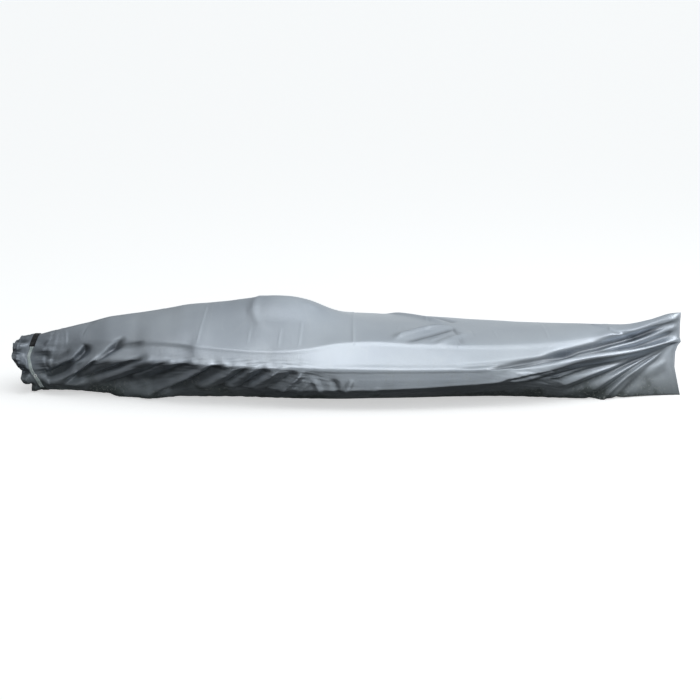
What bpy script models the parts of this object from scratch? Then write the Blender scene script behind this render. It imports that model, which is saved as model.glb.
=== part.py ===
"""Kayak cover, fitted, built in Blender 4.5 in the shape that its cloth takes in use.

The cover is one long sock of coated cloth, 3 m from end to end. Its mouth, at -X, is drawn in by a
webbing strap and ruffles beyond it. Its other end, at +X, is sewn flat and stands as a fin.
Metres, +Z up, +X along the cover, -Y to the viewer. Heights in the tables are above the floor, and
the origin is just under the highest part of the top, inside, where the cover is carried.
"""

import math

import bpy
import numpy as np

# Driving dimensions
CLOTH = 0.002
FLOOR_GAP = 0.0005
STRAP_WIDTH = 0.025
STRAP_THICK = 0.002
TAPE_WIDTH = 0.018
TAPE_THICK = 0.0015
EYELET_RADIUS = 0.0058
EYELET_WIRE = 0.0018
SEAT = 0.0003
NECK_X = -1.415
NECK_RAKE = 0.066
CREST_RAKE = 0.020
SEAM_X = 1.495
FIN_HALF = 0.0045
ORIGIN_X = -0.33
ORIGIN_Z = 0.4235

# The cover's sections, measured from the floor: a row for each place along it.
# x, crest, shoulder, widest line and bilge, each as a half width and a height, foot half width,
# how far the foot leans to the viewer, how softly the section turns its corners, and how much of
# the fall from crest to shoulder the deck's middle has made
SECTION_COLUMNS = (
    "x", "crest", "shoulder_y", "shoulder_z", "wide_y", "wide_z", "bilge_y", "bilge_z", "foot_y",
    "lean", "soft", "deck_fall",
)
SECTIONS = (
    (-1.430, 0.244, 0.060, 0.216, 0.088, 0.122, 0.080, 0.060, 0.050, 0.035, 0.40, 0.24),
    (-1.360, 0.256, 0.070, 0.226, 0.100, 0.130, 0.088, 0.062, 0.058, 0.030, 0.40, 0.24),
    (-1.260, 0.280, 0.088, 0.240, 0.130, 0.152, 0.110, 0.072, 0.076, 0.020, 0.38, 0.24),
    (-1.150, 0.306, 0.114, 0.254, 0.168, 0.172, 0.136, 0.080, 0.098, 0.012, 0.36, 0.26),
    (-1.000, 0.334, 0.146, 0.270, 0.215, 0.188, 0.170, 0.086, 0.122, 0.005, 0.34, 0.28),
    (-0.850, 0.356, 0.182, 0.276, 0.255, 0.194, 0.206, 0.088, 0.148, 0.000, 0.32, 0.32),
    (-0.700, 0.383, 0.222, 0.272, 0.288, 0.196, 0.240, 0.088, 0.158, 0.000, 0.28, 0.38),
    (-0.500, 0.403, 0.264, 0.258, 0.318, 0.194, 0.278, 0.088, 0.164, 0.000, 0.24, 0.46),
    (-0.330, 0.426, 0.284, 0.254, 0.336, 0.191, 0.308, 0.087, 0.180, 0.000, 0.22, 0.48),
    (-0.180, 0.408, 0.282, 0.262, 0.343, 0.190, 0.330, 0.088, 0.194, 0.000, 0.22, 0.48),
    (-0.050, 0.354, 0.250, 0.280, 0.345, 0.188, 0.345, 0.090, 0.198, 0.000, 0.20, 0.42),
    (0.080, 0.318, 0.226, 0.284, 0.345, 0.187, 0.349, 0.094, 0.192, 0.000, 0.20, 0.30),
    (0.300, 0.296, 0.222, 0.274, 0.340, 0.184, 0.345, 0.102, 0.180, 0.000, 0.20, 0.24),
    (0.500, 0.284, 0.212, 0.264, 0.324, 0.182, 0.328, 0.110, 0.165, 0.000, 0.22, 0.24),
    (0.700, 0.276, 0.186, 0.258, 0.295, 0.180, 0.293, 0.116, 0.148, 0.010, 0.26, 0.24),
    (0.900, 0.280, 0.146, 0.260, 0.248, 0.180, 0.238, 0.116, 0.146, 0.028, 0.32, 0.24),
    (1.060, 0.288, 0.100, 0.266, 0.190, 0.182, 0.172, 0.112, 0.130, 0.055, 0.36, 0.24),
    (1.180, 0.290, 0.062, 0.268, 0.128, 0.184, 0.115, 0.100, 0.100, 0.083, 0.38, 0.24),
    (1.270, 0.292, 0.038, 0.272, 0.078, 0.186, 0.070, 0.090, 0.062, 0.100, 0.40, 0.24),
    (1.370, 0.314, 0.020, 0.288, 0.036, 0.190, 0.034, 0.085, 0.032, 0.112, 0.40, 0.24),
    (1.450, 0.338, 0.009, 0.304, 0.013, 0.195, 0.012, 0.085, 0.012, 0.120, 0.40, 0.24),
    (1.495, 0.348, 0.0045, 0.312, 0.0045, 0.200, 0.0045, 0.085, 0.0045, 0.125, 0.40, 0.24),
)
DECK_SHARE = 0.52
FOOT_RISE = 0.007
KEEL_SHARE = 0.62
NECK_RISE = 0.007


def smooth(a, b, x):
    """0 below a, 1 above b and a soft step between them."""
    t = np.clip((x - a) / (b - a), 0.0, 1.0)
    return t * t * (3 - 2 * t)


def interpolated(x):
    """The section at x, read from a smooth curve through the table's rows."""
    rows = np.array(SECTIONS, float)
    xs = rows[:, 0]
    slopes = np.gradient(rows, xs, axis=0)
    i = int(np.clip(np.searchsorted(xs, x) - 1, 0, len(xs) - 2))
    step = xs[i + 1] - xs[i]
    t = (x - xs[i]) / step
    h00, h10 = 2 * t**3 - 3 * t**2 + 1, t**3 - 2 * t**2 + t
    h01, h11 = 3 * t**2 - 2 * t**3, t**3 - t**2
    row = h00 * rows[i] + h10 * step * slopes[i] + h01 * rows[i + 1] + h11 * step * slopes[i + 1]
    return dict(zip(SECTION_COLUMNS, row))


def corner_points(row):
    """The closed section's corners as (y, z), from the crest down the near side and up the far one."""
    deck = (
        row["shoulder_y"] * DECK_SHARE, row["crest"] - row["deck_fall"] * (row["crest"] - row["shoulder_z"])
    )
    shoulder = (row["shoulder_y"], row["shoulder_z"])
    wide = (row["wide_y"], row["wide_z"])
    bilge = (row["bilge_y"], row["bilge_z"])
    under = NECK_RISE * float(smooth(-0.95, -1.35, row["x"]))
    half = [deck, shoulder]
    for start, end in ((shoulder, wide), (wide, bilge)):
        for share in (row["soft"], 1 - row["soft"]):
            half.append(tuple(a + (b - a) * share for a, b in zip(start, end)))
        half.append(end)
    half += [(row["foot_y"], under + FOOT_RISE), (row["foot_y"] * KEEL_SHARE, under)]
    half = [(max(y, FIN_HALF), z) for y, z in half]
    near = [(-y, z) for y, z in half]
    far = [(y, z) for y, z in reversed(half)]
    loop = [(0.0, row["crest"]), *near, (0.0, under), *far]
    return [(y - row["lean"] * (1 - z / row["crest"]), z) for y, z in loop]


def smooth_loop(corners, steps=12):
    """A closed smooth curve through the corners, which doesn't swing out beyond them."""
    p = np.array(corners)
    after = np.roll(p, -1, 0)
    length = np.linalg.norm(after - p, axis=1)[:, None]
    slope = (after - np.roll(p, 1, 0)) / (length + np.roll(length, 1, 0))
    leave, arrive = slope * length, np.roll(slope, -1, 0) * length
    t = (np.arange(steps) / steps)[:, None, None]
    curve = (
        (2 * t**3 - 3 * t**2 + 1) * p + (t**3 - 2 * t**2 + t) * leave
        + (3 * t**2 - 2 * t**3) * after + (t**3 - t**2) * arrive
    )
    return curve.transpose(1, 0, 2).reshape(-1, 2)


def section_sides(x):
    """The near and the far half of the section at x, as lines from the crest to the keel."""
    loop = smooth_loop(corner_points(interpolated(x)))
    half = len(loop) // 2
    return {1: loop[: half + 1], -1: np.vstack([loop[:1], loop[: half - 1 : -1]])}

# Folds of the cloth: a row for each, as a path over the cover with a start, a middle and an end.
# A place is a share of a side's girth, 0 at the crest and 1 at the keel, and the far side's
# places are negative. A fold stands up from the cover, or sinks into it where its height is below 0.
FOLD_COLUMNS = (
    "x_start", "place_start", "x_mid", "place_mid", "x_end", "place_end", "height", "width"
)
FIN_FOLDS = (
    (0.60, 0.535, 1.06, 0.424, 1.52, 0.326, 0.021, 0.030),
    (0.72, 0.600, 1.10, 0.490, 1.50, 0.360, -0.019, 0.028),
    (0.92, 0.650, 1.10, 0.545, 1.47, 0.365, 0.011, 0.026),
    (1.05, 0.740, 1.19, 0.590, 1.47, 0.370, 0.012, 0.028),
    (1.06, 0.820, 1.20, 0.640, 1.47, 0.390, -0.010, 0.028),
    (1.08, 0.900, 1.21, 0.680, 1.47, 0.400, 0.012, 0.030),
    (0.58, 0.460, 0.80, 0.400, 1.04, 0.330, -0.010, 0.026),
    (0.84, 0.375, 1.12, 0.275, 1.46, 0.075, -0.019, 0.030),
    (1.08, 0.230, 1.30, 0.125, 1.51, 0.055, 0.016, 0.032),
    (1.10, 0.320, 1.30, 0.230, 1.50, 0.160, 0.008, 0.026),
)
NEAR_FOLDS = (
    (-1.37, 0.67, -1.25, 0.575, -1.12, 0.300, 0.018, 0.030),
    (-1.34, 0.62, -1.22, 0.455, -1.15, 0.290, -0.022, 0.032),
    (-1.35, 0.72, -1.20, 0.560, -0.96, 0.300, 0.018, 0.032),
    (-1.28, 0.69, -1.13, 0.490, -0.97, 0.260, -0.018, 0.032),
    (-1.30, 0.74, -1.10, 0.610, -0.82, 0.410, 0.020, 0.034),
    (-1.22, 0.69, -1.05, 0.560, -0.86, 0.410, -0.018, 0.034),
    (-1.12, 0.73, -0.93, 0.600, -0.76, 0.455, -0.017, 0.034),
    (-0.98, 0.62, -0.86, 0.530, -0.74, 0.445, 0.013, 0.028),
    (-0.94, 0.745, -0.76, 0.615, -0.56, 0.445, 0.023, 0.034),
    (-0.84, 0.74, -0.67, 0.610, -0.52, 0.490, -0.020, 0.034),
    (-0.66, 0.64, -0.56, 0.560, -0.47, 0.490, 0.015, 0.028),
    (-0.53, 0.60, -0.46, 0.540, -0.38, 0.470, 0.013, 0.026),
    (-0.43, 0.61, -0.35, 0.540, -0.26, 0.470, 0.013, 0.026),
    (-0.28, 0.60, -0.08, 0.570, 0.12, 0.590, 0.007, 0.030),
    (-1.08, 0.80, -0.91, 0.745, -0.74, 0.800, 0.025, 0.055),
    (0.19, 0.27, 0.35, 0.095, 0.50, -0.030, 0.018, 0.034),
    (0.24, 0.275, 0.37, 0.165, 0.50, 0.020, -0.009, 0.030),
    (0.38, 0.28, 0.47, 0.190, 0.55, 0.080, 0.008, 0.032),
    (-0.37, -0.06, -0.41, 0.130, -0.31, 0.270, 0.005, 0.030),
    (-0.02, 0.66, 0.20, 0.620, 0.42, 0.600, 0.006, 0.034),
)
FAR_FOLDS = (
    (-1.34, -0.60, -1.18, -0.46, -1.02, -0.36, 0.012, 0.032),
    (-1.26, -0.74, -1.06, -0.58, -0.86, -0.46, 0.015, 0.034),
    (-1.18, -0.66, -1.02, -0.53, -0.88, -0.42, -0.011, 0.036),
    (-1.02, -0.68, -0.82, -0.55, -0.64, -0.45, 0.013, 0.032),
    (-0.80, -0.62, -0.64, -0.53, -0.50, -0.46, 0.010, 0.030),
    (-0.70, -0.74, -0.52, -0.63, -0.36, -0.52, 0.012, 0.034),
    (-0.60, -0.66, -0.40, -0.58, -0.20, -0.53, -0.011, 0.036),
    (-0.20, -0.62, 0.04, -0.58, 0.28, -0.60, 0.010, 0.032),
    (0.20, -0.60, 0.44, -0.55, 0.70, -0.50, -0.010, 0.034),
    (0.16, -0.30, 0.34, -0.16, 0.46, -0.02, 0.011, 0.038),
    (-0.37, 0.06, -0.41, -0.13, -0.31, -0.26, 0.005, 0.030),
    (0.60, -0.56, 0.86, -0.48, 1.10, -0.42, 0.014, 0.034),
    (0.74, -0.44, 0.92, -0.38, 1.08, -0.34, -0.011, 0.032),
    (0.92, -0.70, 1.06, -0.61, 1.18, -0.54, 0.012, 0.032),
)

# Gathers drawn in under the strap: place, height, width, how far they run from the strap and how
# far they drift round the cover on the way.
GATHER_COLUMNS = ("place", "height", "width", "run", "drift")
GATHERS = (
    (0.10, 0.003, 0.012, 0.03, 0.00),
    (0.21, -0.009, 0.013, 0.05, 0.02),
    (0.29, 0.006, 0.012, 0.10, 0.03),
    (0.37, -0.009, 0.013, 0.08, 0.02),
    (0.45, 0.007, 0.012, 0.10, -0.02),
    (0.53, -0.008, 0.011, 0.07, -0.02),
    (0.585, -0.007, 0.011, 0.05, -0.02),
    (0.655, 0.007, 0.010, 0.06, -0.02),
    (0.72, -0.007, 0.010, 0.06, -0.02),
    (-0.10, 0.004, 0.011, 0.04, 0.00),
    (-0.22, -0.009, 0.012, 0.06, -0.02),
    (-0.31, 0.010, 0.011, 0.06, -0.01),
    (-0.40, -0.010, 0.012, 0.05, 0.00),
    (-0.49, 0.009, 0.010, 0.07, 0.01),
    (-0.58, -0.009, 0.012, 0.05, 0.02),
    (-0.67, 0.009, 0.011, 0.06, 0.03),
    (-0.77, 0.006, 0.012, 0.06, 0.01),
)

# The ruffle beyond the strap: a row for each place round the mouth, with how far the edge reaches
# past the strap and how far it flares out
RUFFLE_COLUMNS = ("place", "reach", "flare")
RUFFLE = (
    (-1.00, 0.044, 0.000),
    (-0.86, 0.050, 0.008),
    (-0.72, 0.046, 0.004),
    (-0.58, 0.060, 0.020),
    (-0.45, 0.052, 0.012),
    (-0.30, 0.060, 0.018),
    (-0.16, 0.062, -0.010),
    (0.00, 0.064, -0.030),
    (0.10, 0.068, -0.022),
    (0.20, 0.069, 0.002),
    (0.31, 0.063, 0.018),
    (0.42, 0.056, 0.024),
    (0.51, 0.047, 0.016),
    (0.57, 0.037, -0.006),
    (0.65, 0.045, 0.014),
    (0.73, 0.042, 0.014),
    (0.79, 0.030, -0.006),
    (0.87, 0.040, 0.003),
    (1.00, 0.044, 0.000),
)

# Pleats that run out through the ruffle: place at the strap and at the mouth's edge, height, width
PLEAT_COLUMNS = ("at_strap", "at_edge", "height", "width")
PLEATS = (
    (0.08, 0.09, 0.007, 0.020),
    (0.16, 0.15, -0.011, 0.010),
    (0.24, 0.25, 0.010, 0.016),
    (0.33, 0.31, -0.012, 0.010),
    (0.42, 0.42, 0.012, 0.018),
    (0.50, 0.53, -0.013, 0.009),
    (0.57, 0.60, -0.016, 0.012),
    (0.64, 0.67, 0.014, 0.016),
    (0.72, 0.77, -0.015, 0.010),
    (0.81, 0.86, 0.009, 0.015),
    (0.93, 0.94, -0.007, 0.012),
    (-0.10, -0.12, -0.009, 0.014),
    (-0.20, -0.22, 0.012, 0.020),
    (-0.34, -0.33, -0.016, 0.013),
    (-0.45, -0.48, 0.014, 0.022),
    (-0.57, -0.58, -0.014, 0.014),
    (-0.68, -0.70, 0.012, 0.020),
    (-0.80, -0.82, -0.012, 0.012),
    (-0.90, -0.90, 0.008, 0.018),
)

# Where the sewn edge stands back from a straight line: height on the edge and how far
EDGE = (
    (0.000, -0.004), (0.060, -0.016), (0.120, -0.027), (0.180, -0.023), (0.208, -0.012),
    (0.225, 0.003), (0.245, -0.002), (0.300, 0.000), (0.348, 0.005),
)

# How finely the cover is modelled
SIDE_STEPS = 26
PLACE_CROWDING = 0.055
ZONES = ((-1.335, -0.27, 24), (-0.27, 0.62, 9), (0.62, SEAM_X, 19))
NARROWEST_FOLD = 0.046
NARROWEST_PLEAT = 0.015
RUFFLE_ROWS = (1.0, 0.68, 0.36, 0.12)

# Points of the neck, counted from the crest down the near side, where the tape starts and ends and
# where its eyelet sits, and the gap between the ends of the strap and the tape
TAPE_START = 5
TAPE_END = 22
EYELET_AT = 17
END_GAP = 0.0004


def place_steps():
    """Places round the cover, closest together on the sides, where most folds are."""
    u = np.arange(SIDE_STEPS + 1) / SIDE_STEPS
    side = u + PLACE_CROWDING * np.sin(2 * math.pi * u)
    return np.concatenate([side, -side[-2:0:-1]])


def section_ring(x, places):
    """Points of the section at x as (y, z), with the outward normals and the sides' girths."""
    points = np.zeros((len(places), 2))
    girth = np.zeros(len(places))
    for side, line in section_sides(x).items():
        along = np.concatenate([[0], np.cumsum(np.linalg.norm(np.diff(line, axis=0), axis=1))])
        mine = (places >= 0) if side == 1 else (places < 0)
        at = np.abs(places[mine]) * along[-1]
        points[mine, 0] = np.interp(at, along, line[:, 0])
        points[mine, 1] = np.interp(at, along, line[:, 1])
        girth[mine] = along[-1]
    tangent = np.roll(points, -1, 0) - np.roll(points, 1, 0)
    normal = np.column_stack([tangent[:, 1], -tangent[:, 0]])
    return points, normal / np.linalg.norm(normal, axis=1)[:, None], girth


def fold_height(rows, x, places, girth, narrowest=NARROWEST_FOLD):
    """How far the folds lift the cloth at the places of the section at x."""
    lift = np.zeros(len(places))
    for row in rows:
        f = dict(zip(FOLD_COLUMNS, row))
        t = np.linspace(0, 1, 17)
        path_x = (1 - t) ** 2 * f["x_start"] + t**2 * f["x_end"]
        path_x += 2 * t * (1 - t) * (2 * f["x_mid"] - (f["x_start"] + f["x_end"]) / 2)
        path_p = (1 - t) ** 2 * f["place_start"] + t**2 * f["place_end"]
        path_p += 2 * t * (1 - t) * (2 * f["place_mid"] - (f["place_start"] + f["place_end"]) / 2)
        run = np.diff(path_x)[None, :]
        drop = np.diff(path_p)[None, :] * girth[:, None]
        ahead = x - path_x[None, :-1]
        down = (places[:, None] - path_p[None, :-1]) * girth[:, None]
        share = np.clip((ahead * run + down * drop) / (run**2 + drop**2), 0, 1)
        distance = np.hypot(ahead - share * run, down - share * drop)
        nearest = np.argmin(distance, axis=1)
        each = np.arange(len(places))
        at = t[nearest] + share[each, nearest] * t[1]
        fade = smooth(0.0, 0.25, at) * smooth(1.0, 0.85, at)
        width = max(f["width"], narrowest)
        lift += f["height"] * fade * np.exp(-((distance[each, nearest] / width) ** 2))
    return lift


def gather_folds():
    """The gathers as rows of folds that start at the strap."""
    rows = []
    start = NECK_X + STRAP_WIDTH / 2
    for row in GATHERS:
        g = dict(zip(GATHER_COLUMNS, row))
        rows.append((
            start - 0.03, g["place"], start + g["run"] / 2, g["place"] + g["drift"] / 2,
            start + g["run"], g["place"] + g["drift"], g["height"], g["width"],
        ))
    return rows


def neck_rake(x, z):
    """How far the cover's foot and crest stand forward of its middle near the strap."""
    foot = NECK_RAKE * np.clip(1 - z / 0.25, 0, 1) ** 2.2
    crest = CREST_RAKE * np.clip((z - 0.165) / 0.08, 0, 1) ** 1.3
    return (foot + crest) * smooth(-1.0, -1.30, x)


def cover_row(x, places):
    """The cover's outer surface at the station x, as 3-D points."""
    half_band = STRAP_WIDTH / 2 + 0.006
    at_neck = abs(x - NECK_X) <= half_band + 1e-6
    ring, normal, girth = section_ring(NECK_X if at_neck else x, places)
    if not at_neck:
        near_lift = fold_height(NEAR_FOLDS + FIN_FOLDS, x, np.abs(places), girth)
        far_lift = fold_height(FAR_FOLDS, x, -np.abs(places), girth)
        gathers = fold_height(gather_folds(), x, places, girth, narrowest=0.0)
        gathers *= smooth(NECK_X + half_band, NECK_X + half_band + 0.02, x)
        lift = np.where(places >= 0, near_lift, far_lift) + gathers
        lift *= smooth(1.02, 0.86, np.abs(places))
        moved = ring + normal * lift[:, None]
        mirror = {round(p, 6): i for i, p in enumerate(places)}
        joined = smooth(1.10, 1.34, x)
        for i, p in enumerate(places):
            if p < 0:
                twin = mirror[round(-p, 6)]
                along_twin = ring[i] + moved[twin] - ring[twin]
                moved[i] = (1 - joined) * moved[i] + joined * along_twin
        ring = moved
    ring[:, 1] = np.maximum(ring[:, 1], FLOOR_GAP)
    heights, set_back = np.array(EDGE).T
    out_x = x + neck_rake(min(x, NECK_X + half_band) if at_neck else x, ring[:, 1])
    out_x = out_x + np.interp(ring[:, 1], heights, set_back) * smooth(1.38, SEAM_X, x)
    return np.column_stack([out_x, ring])


def ruffle_swell(flare, t):
    """The share of the flare at the share t of the reach: lobes swell and then turn in."""
    return np.where(flare > 0, math.sin(0.72 * math.pi * t), t**1.3)


def ruffle_row(t, places):
    """The ruffle's surface at the share t of its reach."""
    ring, normal, girth = section_ring(NECK_X, places)
    table = np.array(RUFFLE)
    reach = np.interp(places, table[:, 0], table[:, 1])
    flare = np.interp(places, table[:, 0], table[:, 2])
    pleats = np.zeros(len(places))
    for row in PLEATS:
        p = dict(zip(PLEAT_COLUMNS, row))
        d = (places - p["at_strap"] - (p["at_edge"] - p["at_strap"]) * t) * girth
        pleats += p["height"] * np.exp(-((d / max(p["width"], NARROWEST_PLEAT)) ** 2))
    out = flare * ruffle_swell(flare, t) + pleats * float(smooth(0.0, 0.55, t)) * (1 - 0.15 * t)
    moved = ring + normal * out[:, None]
    moved[:, 1] = np.maximum(moved[:, 1], FLOOR_GAP)
    start = NECK_X - STRAP_WIDTH / 2 - 0.006
    return np.column_stack([start - reach * t + neck_rake(NECK_X, ring[:, 1]), moved])


def to_origin(points):
    return [(p[0] - ORIGIN_X, p[1], p[2] - ORIGIN_Z) for p in points]


def material(name, colour, roughness, metallic=0.0):
    mat = bpy.data.materials.new(name)
    mat.use_nodes = True
    shader = mat.node_tree.nodes["Principled BSDF"]
    shader.inputs["Base Color"].default_value = (*colour, 1.0)
    shader.inputs["Roughness"].default_value = roughness
    shader.inputs["Metallic"].default_value = metallic
    mat.diffuse_color = (*colour, 1.0)
    return mat


def add_object(collection, name, points, faces, mat):
    mesh = bpy.data.meshes.new(name)
    mesh.from_pydata(to_origin(points), [], faces)
    mesh.shade_smooth()
    mesh.materials.append(mat)
    obj = bpy.data.objects.new(name, mesh)
    collection.objects.link(obj)
    return obj


def build_cover(collection):
    places = place_steps()
    half_band = STRAP_WIDTH / 2 + 0.006
    stations = [NECK_X - half_band, NECK_X + half_band, NECK_X + half_band + 0.018]
    for i, (a, b, steps) in enumerate(ZONES):
        stations += [a + (b - a) * k / steps for k in range(0 if i == 0 else 1, steps + 1)]
    rows = [ruffle_row(t, places) for t in RUFFLE_ROWS]
    rows += [cover_row(x, places) for x in stations]
    points = np.concatenate(rows)
    n = len(places)
    faces = []
    for r in range(len(rows) - 1):
        for j in range(n):
            k = (j + 1) % n
            faces.append((r * n + j, r * n + k, (r + 1) * n + k, (r + 1) * n + j))
    last = (len(rows) - 1) * n
    for j in range(SIDE_STEPS):
        a, b = last + j, last + j + 1
        far_a, far_b = last + (n - j) % n, last + (n - j - 1) % n
        corners = [a, b, far_b, far_a]
        faces.append(tuple(c for i, c in enumerate(corners) if c not in corners[:i]))
    obj = add_object(
        collection, "cover", points, faces, material("silver_cloth", (0.42, 0.45, 0.48), 0.42, 0.3)
    )
    shell = obj.modifiers.new("cloth", "SOLIDIFY")
    shell.thickness = CLOTH
    shell.offset = -1.0
    shell.use_even_offset = False
    return obj


def neck_band(collection, name, first, last, width, thick, mat):
    """A flat band on the neck, from one of its points round to another, with its own thickness."""
    places = place_steps()
    n = len(places)
    ring, _, _ = section_ring(NECK_X, places)
    edges = np.roll(ring, -1, 0) - ring
    side = np.column_stack([edges[:, 1], -edges[:, 0]])
    side /= np.linalg.norm(side, axis=1)[:, None]
    mitre = side + np.roll(side, 1, 0)
    mitre /= (mitre * side).sum(1)[:, None]
    indices = list(range(first, last + 1))
    points = []
    for i in indices:
        base = ring[i % n]
        rake = neck_rake(NECK_X, base[1])
        if i == first:
            base = base + END_GAP / 2 * edges[i % n] / np.linalg.norm(edges[i % n])
        if i == last:
            base = base - END_GAP / 2 * edges[(i - 1) % n] / np.linalg.norm(edges[(i - 1) % n])
        y, z = base + SEAT * mitre[i % n]
        points += [(NECK_X + rake - width / 2, y, z), (NECK_X + rake + width / 2, y, z)]
    faces = [(2 * k, 2 * k + 2, 2 * k + 3, 2 * k + 1) for k in range(len(indices) - 1)]
    band = add_object(collection, name, points, faces, mat)
    shell = band.modifiers.new("thickness", "SOLIDIFY")
    shell.thickness = thick
    shell.offset = 1.0
    return band


def add_eyelet(collection):
    """A metal eyelet flat on the tape."""
    ring, _, _ = section_ring(NECK_X, place_steps())
    a, b = ring[EYELET_AT], ring[EYELET_AT + 1]
    edge = (b - a) / np.linalg.norm(b - a)
    out = np.array([edge[1], -edge[0]])
    middle = (a + b) / 2 + out * (SEAT + TAPE_THICK + SEAT + EYELET_WIRE)
    rake = (neck_rake(NECK_X, a[1]) + neck_rake(NECK_X, b[1])) / 2
    bpy.ops.mesh.primitive_torus_add(
        major_segments=28, minor_segments=10, major_radius=EYELET_RADIUS, minor_radius=EYELET_WIRE
    )
    eyelet = bpy.context.object
    eyelet.name = "eyelet"
    eyelet.location = to_origin([(NECK_X + rake, middle[0], middle[1])])[0]
    eyelet.rotation_euler = (math.atan2(-out[0], out[1]), 0.0, 0.0)
    eyelet.data.shade_smooth()
    eyelet.data.materials.append(material("eyelet_metal", (0.72, 0.73, 0.74), 0.3, 1.0))
    for home in list(eyelet.users_collection):
        home.objects.unlink(eyelet)
    collection.objects.link(eyelet)
    return eyelet


def main():
    for obj in list(bpy.data.objects):
        bpy.data.objects.remove(obj, do_unlink=True)
    collection = bpy.data.collections.new("kayak_cover")
    bpy.context.scene.collection.children.link(collection)
    build_cover(collection)
    around = len(place_steps())
    neck_band(
        collection, "cinch_strap", TAPE_END, around + TAPE_START, STRAP_WIDTH, STRAP_THICK,
        material("black_webbing", (0.02, 0.02, 0.022), 0.7),
    )
    neck_band(
        collection, "cinch_tape", TAPE_START, TAPE_END, TAPE_WIDTH, TAPE_THICK,
        material("pale_tape", (0.70, 0.73, 0.71), 0.6),
    )
    add_eyelet(collection)


main()
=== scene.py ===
"""Looks of the kayak cover: one sock of silver coated cloth, its strap, its tape and its eyelet.

The cloth is one fine sheet laid on the same sections and folds as the solid. Lengths are metres,
except where a table gives millimetres. Tables give x along the cover and heights above the floor,
and home() moves both to the row's frame.
"""

import math

import bpy
import numpy as np
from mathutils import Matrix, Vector


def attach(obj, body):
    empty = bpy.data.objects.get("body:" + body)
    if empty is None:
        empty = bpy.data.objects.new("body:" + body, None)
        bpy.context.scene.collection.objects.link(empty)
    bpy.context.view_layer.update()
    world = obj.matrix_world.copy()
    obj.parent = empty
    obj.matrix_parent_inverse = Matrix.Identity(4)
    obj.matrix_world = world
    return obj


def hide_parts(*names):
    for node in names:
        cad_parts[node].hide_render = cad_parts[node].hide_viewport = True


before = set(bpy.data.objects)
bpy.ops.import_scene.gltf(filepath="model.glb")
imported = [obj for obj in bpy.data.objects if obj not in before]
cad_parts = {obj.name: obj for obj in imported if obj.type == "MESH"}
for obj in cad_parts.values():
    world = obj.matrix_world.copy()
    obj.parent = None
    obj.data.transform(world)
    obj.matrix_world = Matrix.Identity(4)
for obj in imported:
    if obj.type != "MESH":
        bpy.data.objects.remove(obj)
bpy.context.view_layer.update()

# Where the row's frame stands on the floor's frame, and how far the cloth lies off the floor
HOME_X = -0.33
HOME_Z = 0.4235
FLOOR_GAP = 0.0008

# The strap, how far it and the tape lie off the cloth, and the neck under it: its middle, its
# half length and how far its foot and its crest stand forward
STRAP_WIDTH = 0.025
SEAT = 0.0003
NECK_X = -1.415
NECK_HALF = STRAP_WIDTH / 2 + 0.006
NECK_RAKE = 0.066
CREST_RAKE = 0.02

# The sewn edge and half the thickness of the flat fin before it
SEAM_X = 1.495
FIN_HALF = 0.0045

# The sections, a row each: x, then in millimetres the crest, the shoulder, the widest line and the
# bilge, each as a half width and a height, the foot's half width and its lean to the viewer, then
# how softly the section turns its corners and how much of the fall from crest to shoulder the
# deck's middle has made
SECTION_COLUMNS = (
    "x", "crest", "shoulder_y", "shoulder_z", "wide_y", "wide_z", "bilge_y", "bilge_z", "foot_y",
    "lean", "soft", "deck_fall",
)
SECTIONS = (
    (-1.43, 244, 60, 216, 88, 122, 80, 60, 50, 35, 0.4, 0.24),
    (-1.36, 256, 70, 226, 100, 130, 88, 62, 58, 30, 0.4, 0.24),
    (-1.26, 280, 88, 240, 130, 152, 110, 72, 76, 20, 0.38, 0.24),
    (-1.15, 306, 114, 254, 168, 172, 136, 80, 98, 12, 0.36, 0.26),
    (-1.0, 334, 146, 270, 215, 188, 170, 86, 122, 5, 0.34, 0.28),
    (-0.85, 356, 182, 276, 255, 194, 206, 88, 148, 0, 0.32, 0.32),
    (-0.7, 383, 222, 272, 288, 196, 240, 88, 158, 0, 0.28, 0.38),
    (-0.5, 403, 264, 258, 318, 194, 278, 88, 164, 0, 0.24, 0.46),
    (-0.33, 426, 284, 254, 336, 191, 308, 87, 180, 0, 0.22, 0.48),
    (-0.18, 408, 282, 262, 343, 190, 330, 88, 194, 0, 0.22, 0.48),
    (-0.05, 354, 250, 280, 345, 188, 345, 90, 198, 0, 0.2, 0.42),
    (0.08, 318, 226, 284, 345, 187, 349, 94, 192, 0, 0.2, 0.3),
    (0.3, 296, 222, 274, 340, 184, 345, 102, 180, 0, 0.2, 0.24),
    (0.5, 284, 212, 264, 324, 182, 328, 110, 165, 0, 0.22, 0.24),
    (0.7, 276, 186, 258, 295, 180, 293, 116, 148, 10, 0.26, 0.24),
    (0.9, 280, 146, 260, 248, 180, 238, 116, 146, 28, 0.32, 0.24),
    (1.06, 288, 100, 266, 190, 182, 172, 112, 130, 55, 0.36, 0.24),
    (1.18, 290, 62, 268, 128, 184, 115, 100, 100, 83, 0.38, 0.24),
    (1.27, 292, 38, 272, 78, 186, 70, 90, 62, 100, 0.4, 0.24),
    (1.37, 314, 20, 288, 36, 190, 34, 85, 32, 112, 0.4, 0.24),
    (1.45, 338, 9, 304, 13, 195, 12, 85, 12, 120, 0.4, 0.24),
    (1.495, 348, 4.5, 312, 4.5, 200, 4.5, 85, 4.5, 125, 0.4, 0.24),
)

# The deck's middle and the keel's edge as shares of the half widths beside them, how far the foot
# stands above the keel, and the keel above the floor at the neck
DECK_SHARE = 0.52
KEEL_SHARE = 0.62
FOOT_RISE = 0.007
NECK_RISE = 0.007

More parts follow.
